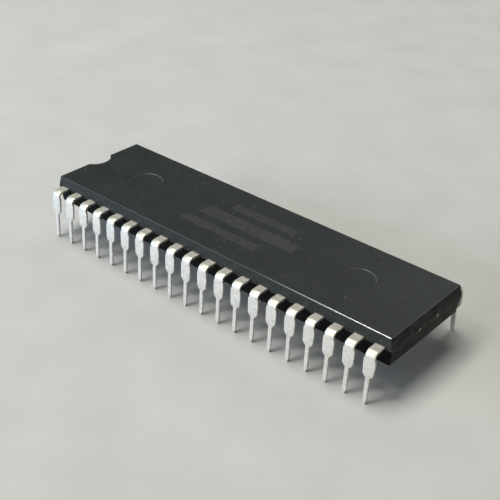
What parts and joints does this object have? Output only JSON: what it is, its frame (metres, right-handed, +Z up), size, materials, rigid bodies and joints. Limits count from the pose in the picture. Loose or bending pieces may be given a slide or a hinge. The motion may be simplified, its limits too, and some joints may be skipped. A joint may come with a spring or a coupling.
{
  "type": "dip integrated circuit chip",
  "caption": "Plastic dual in-line integrated circuit package: flat dark moulded body with an end notch, and stamped tinned leads bent down along both long sides.",
  "frame": {"origin": "middle of the package's plan, on the plane of the lead tips", "axes": "+Z up, out of the top face; +X along the body, away from the notched end; -Y towards leads 1 to 20"},
  "size_m": [0.0512, 0.0174, 0.0076],
  "materials": {
    "compound": "fine matt moulded surface",
    "tinned_leads": "dull tin plate",
    "frame_metal": "bare copper alloy",
    "die_adhesive": "cured filled adhesive",
    "silicon": "polished",
    "gold_wire": "drawn wire"
  },
  "bodies": {
    "root": {"package_body": "compound", "lead_01": "tinned_leads", "lead_02": "tinned_leads", "lead_03": "tinned_leads", "lead_04": "tinned_leads", "lead_05": "tinned_leads", "lead_06": "tinned_leads", "lead_07": "tinned_leads", "lead_08": "tinned_leads", "lead_09": "tinned_leads", "lead_10": "tinned_leads", "lead_11": "tinned_leads", "lead_12": "tinned_leads", "lead_13": "tinned_leads", "lead_14": "tinned_leads", "lead_15": "tinned_leads", "lead_16": "tinned_leads", "lead_17": "tinned_leads", "lead_18": "tinned_leads", "lead_19": "tinned_leads", "lead_20": "tinned_leads", "lead_21": "tinned_leads", "lead_22": "tinned_leads", "lead_23": "tinned_leads", "lead_24": "tinned_leads", "lead_25": "tinned_leads", "lead_26": "tinned_leads", "lead_27": "tinned_leads", "lead_28": "tinned_leads", "lead_29": "tinned_leads", "lead_30": "tinned_leads", "lead_31": "tinned_leads", "lead_32": "tinned_leads", "lead_33": "tinned_leads", "lead_34": "tinned_leads", "lead_35": "tinned_leads", "lead_36": "tinned_leads", "lead_37": "tinned_leads", "lead_38": "tinned_leads", "lead_39": "tinned_leads", "lead_40": "tinned_leads", "die_paddle": "frame_metal", "die_attach": "die_adhesive", "silicon_die": "silicon", "bond_wires": "gold_wire"}
  },
  "joints": []
}
